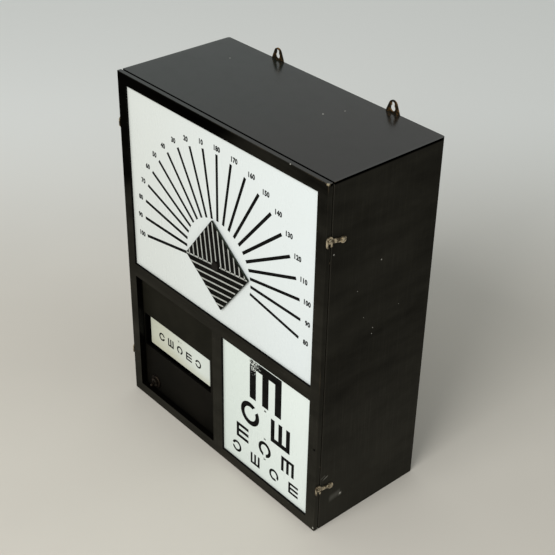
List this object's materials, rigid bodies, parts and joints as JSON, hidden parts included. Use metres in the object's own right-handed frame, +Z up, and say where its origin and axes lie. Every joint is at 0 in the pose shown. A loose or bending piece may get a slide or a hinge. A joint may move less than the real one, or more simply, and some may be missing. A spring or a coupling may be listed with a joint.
{
  "type": "eye test light box",
  "caption": "Eye test light box: painted wooden lamp cabinet with a lift-off front, opal chart panes, a turning block figure, a letter drum behind a slot, side hooks and hanger plates.",
  "frame": {"origin": "middle of the cabinet's footprint, on the floor under the bottom board", "axes": "+X to the right seen from the front, the front faces -Y, +Z up"},
  "size_m": [0.5666, 0.2622, 0.738],
  "materials": {
    "black_paint": "satin black paint",
    "white_paint": "matt white paint",
    "opal_glass": "opal, printed",
    "ivory_plate": "translucent ivory",
    "brass": "aged",
    "steel": "turned",
    "bakelite": "moulded",
    "lead": "matt",
    "bulb_glass": "pearl",
    "dowel_wood": "bare"
  },
  "bodies": {
    "cabinet": {"top_board": "black_paint", "bottom_board": "black_paint", "side_left": "black_paint", "side_right": "black_paint", "back_panel": "black_paint", "shelf": "white_paint", "divider": "white_paint", "mask_panel": "black_paint", "mask_cleats": "black_paint", "drum_post_left": "black_paint", "drum_post_right": "black_paint", "drum_stub": "steel", "drum_tube": "brass", "drum_washers": "brass", "drum_lampholder": "bakelite", "drum_bulb": "bulb_glass", "lampholder_upper_left": "bakelite", "lampholder_upper_right": "bakelite", "lampholder_chart": "bakelite", "bulb_upper_left": "bulb_glass", "bulb_upper_right": "bulb_glass", "bulb_chart": "bulb_glass", "terminal_block": "bakelite", "lamp_leads": "lead", "switch_leads": "lead", "cord_bush": "bakelite", "switch_case": "bakelite", "switch_pin": "steel", "switch_rose": "brass", "switch_nut": "brass", "hanger_eye_left": "brass", "hanger_eye_right": "brass", "front_dowels": "dowel_wood", "hook_screws": "brass", "hook_washers": "brass"},
    "front": {"stile_left": "black_paint", "stile_right": "black_paint", "top_rail": "black_paint", "mid_rail": "black_paint", "bottom_rail": "black_paint", "mullion": "black_paint", "fan_pane": "opal_glass", "chart_pane": "opal_glass", "fan_beads": "black_paint", "chart_beads": "black_paint", "hook_pins": "brass", "block_bush": "brass", "block_bush_nut": "brass"},
    "block": {"block_plate": "black_paint", "block_knob": "bakelite", "block_nut": "brass"},
    "letter_drum": {"drum_end_left": "black_paint", "drum_end_right": "black_paint", "drum_faces": "ivory_plate"},
    "hook_upper_left": {"hook_upper_left": "brass"},
    "hook_lower_left": {"hook_lower_left": "brass"},
    "hook_upper_right": {"hook_upper_right": "brass"},
    "hook_lower_right": {"hook_lower_right": "brass"},
    "switch_lever": {"switch_lever": "brass"}
  },
  "joints": [
    {"name": "front_pull_off", "type": "slide", "parent": "cabinet", "child": "front", "axis": [0, -1, 0], "range_m": [0, 0.12]},
    {"name": "block_turn", "type": "hinge", "parent": "front", "child": "block", "pos_m": [0.002, -0.129, 0.437], "axis": [0, -1, 0], "continuous": true},
    {"name": "drum_turn", "type": "hinge", "parent": "cabinet", "child": "letter_drum", "pos_m": [-0.147, -0.05071, 0.158], "axis": [1, 0, 0], "continuous": true},
    {"name": "hook_upper_left_lift", "type": "hinge", "parent": "cabinet", "child": "hook_upper_left", "pos_m": [-0.27935, -0.094, 0.608], "axis": [-1, 0, 0], "range_deg": [0, 105]},
    {"name": "hook_lower_left_lift", "type": "hinge", "parent": "cabinet", "child": "hook_lower_left", "pos_m": [-0.27935, -0.094, 0.094], "axis": [-1, 0, 0], "range_deg": [0, 105]},
    {"name": "hook_upper_right_lift", "type": "hinge", "parent": "cabinet", "child": "hook_upper_right", "pos_m": [0.27935, -0.094, 0.608], "axis": [-1, 0, 0], "range_deg": [0, 105]},
    {"name": "hook_lower_right_lift", "type": "hinge", "parent": "cabinet", "child": "hook_lower_right", "pos_m": [0.27935, -0.094, 0.094], "axis": [-1, 0, 0], "range_deg": [0, 105]},
    {"name": "switch_toggle", "type": "hinge", "parent": "cabinet", "child": "switch_lever", "pos_m": [-0.2235, -0.1165, 0.0385], "axis": [-1, 0, 0], "range_deg": [0, 34]}
  ]
}
